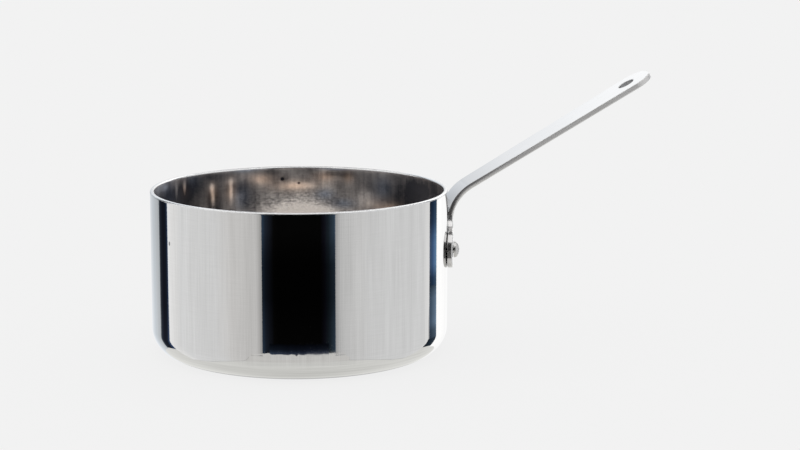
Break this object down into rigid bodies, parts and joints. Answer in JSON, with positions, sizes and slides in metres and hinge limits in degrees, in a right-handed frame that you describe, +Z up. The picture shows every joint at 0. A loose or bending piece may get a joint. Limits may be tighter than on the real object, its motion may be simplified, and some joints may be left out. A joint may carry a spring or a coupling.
{
  "type": "saucepan",
  "caption": "Straight-sided polished metal saucepan with a rounded bottom corner and a long flat strap handle, riveted to the wall, with a hanging hole.",
  "frame": {"origin": "middle of the base, on the surface the pan stands on", "axes": "+Z up along the pan's axis, +X from the pan's axis along the handle, +Y to the left of the handle"},
  "size_m": [0.3091, 0.18, 0.1671],
  "materials": {
    "pan_steel": "mirror polished outside, satin inside",
    "handle_steel": "polished",
    "rivet_steel": "polished, slightly dulled"
  },
  "bodies": {
    "root": {"pan_body": "pan_steel", "handle": "handle_steel", "rivet_left": "rivet_steel", "rivet_right": "rivet_steel"}
  },
  "joints": []
}
